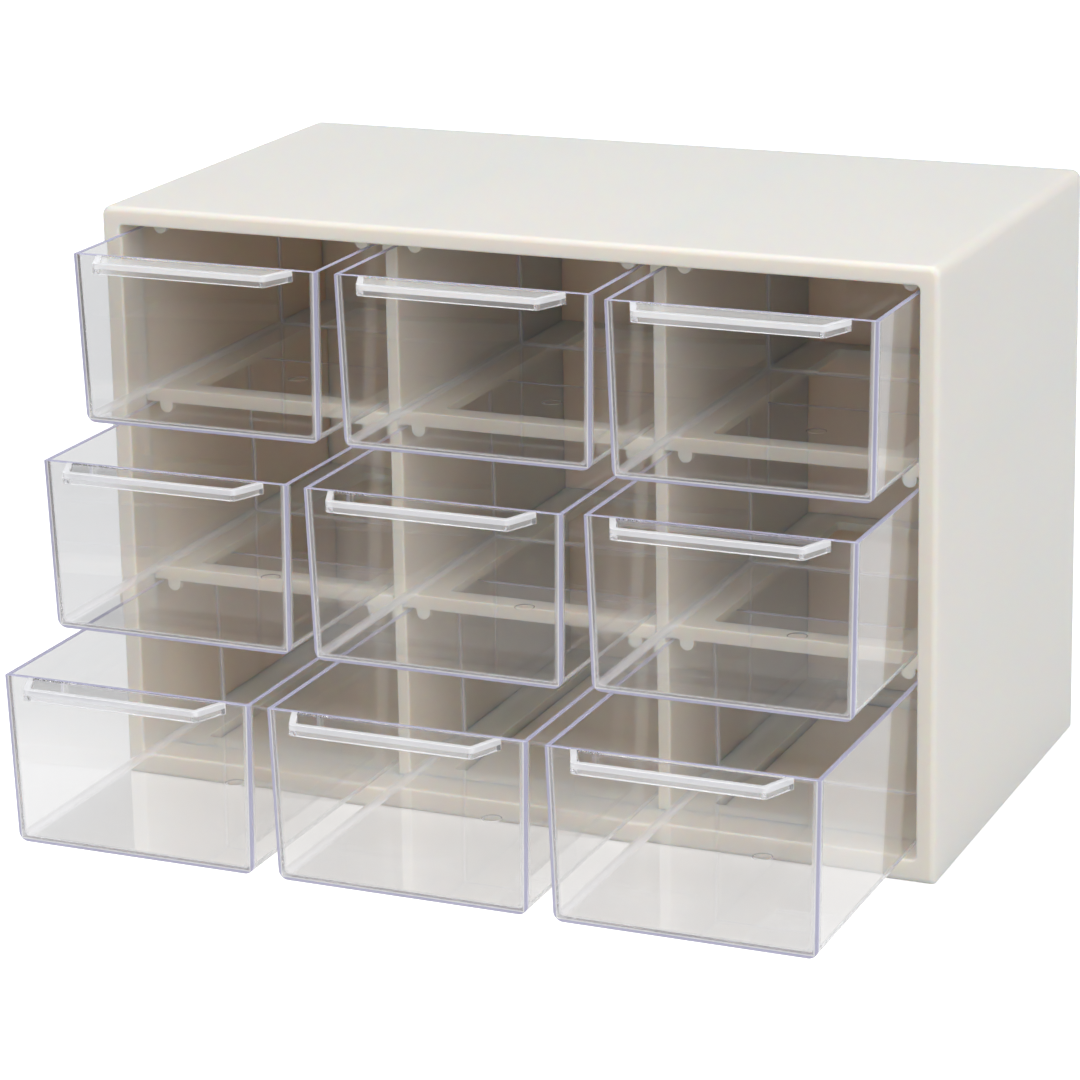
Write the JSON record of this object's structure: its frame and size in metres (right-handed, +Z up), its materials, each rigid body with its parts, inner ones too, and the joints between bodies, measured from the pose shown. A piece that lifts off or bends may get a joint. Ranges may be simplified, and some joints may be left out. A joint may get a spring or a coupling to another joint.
{
  "type": "parts bin cabinet",
  "caption": "Desk-top parts cabinet with an ivory moulded case and clear pull-out drawers in a square grid of columns and rows.",
  "frame": {"origin": "centre of the case's flat underside", "axes": "+X to the right seen from the front, +Y from the front to the back, +Z up"},
  "size_m": [0.18, 0.1594, 0.124],
  "materials": {
    "ivory_plastic": "satin moulded, ivory",
    "clear_plastic": "clear polystyrene, polished"
  },
  "bodies": {
    "cabinet": {"outer_case": "ivory_plastic", "back_panel": "ivory_plastic", "divider_left": "ivory_plastic", "divider_right": "ivory_plastic", "upper_shelf_left": "ivory_plastic", "upper_shelf_centre": "ivory_plastic", "upper_shelf_right": "ivory_plastic", "lower_shelf_left": "ivory_plastic", "lower_shelf_centre": "ivory_plastic", "lower_shelf_right": "ivory_plastic", "floor_frame_left": "ivory_plastic", "floor_frame_centre": "ivory_plastic", "floor_frame_right": "ivory_plastic"},
    "top_left_drawer": {"drawer_top_left": "clear_plastic"},
    "top_centre_drawer": {"drawer_top_centre": "clear_plastic"},
    "top_right_drawer": {"drawer_top_right": "clear_plastic"},
    "middle_left_drawer": {"drawer_middle_left": "clear_plastic"},
    "middle_centre_drawer": {"drawer_middle_centre": "clear_plastic"},
    "middle_right_drawer": {"drawer_middle_right": "clear_plastic"},
    "bottom_left_drawer": {"drawer_bottom_left": "clear_plastic"},
    "bottom_centre_drawer": {"drawer_bottom_centre": "clear_plastic"},
    "bottom_right_drawer": {"drawer_bottom_right": "clear_plastic"}
  },
  "joints": [
    {"name": "top_left_slide", "type": "slide", "parent": "cabinet", "child": "top_left_drawer", "axis": [0, -1, 0], "range_m": [-0.0269, 0.0562]},
    {"name": "top_centre_slide", "type": "slide", "parent": "cabinet", "child": "top_centre_drawer", "axis": [0, -1, 0], "range_m": [-0.0269, 0.0562]},
    {"name": "top_right_slide", "type": "slide", "parent": "cabinet", "child": "top_right_drawer", "axis": [0, -1, 0], "range_m": [-0.0299, 0.0532]},
    {"name": "middle_left_slide", "type": "slide", "parent": "cabinet", "child": "middle_left_drawer", "axis": [0, -1, 0], "range_m": [-0.0424, 0.0407]},
    {"name": "middle_centre_slide", "type": "slide", "parent": "cabinet", "child": "middle_centre_drawer", "axis": [0, -1, 0], "range_m": [-0.0429, 0.0402]},
    {"name": "middle_right_slide", "type": "slide", "parent": "cabinet", "child": "middle_right_drawer", "axis": [0, -1, 0], "range_m": [-0.0414, 0.0417]},
    {"name": "bottom_left_slide", "type": "slide", "parent": "cabinet", "child": "bottom_left_drawer", "axis": [0, -1, 0], "range_m": [-0.0614, 0.0217]},
    {"name": "bottom_centre_slide", "type": "slide", "parent": "cabinet", "child": "bottom_centre_drawer", "axis": [0, -1, 0], "range_m": [-0.0614, 0.0217]},
    {"name": "bottom_right_slide", "type": "slide", "parent": "cabinet", "child": "bottom_right_drawer", "axis": [0, -1, 0], "range_m": [-0.0619, 0.0212]}
  ]
}
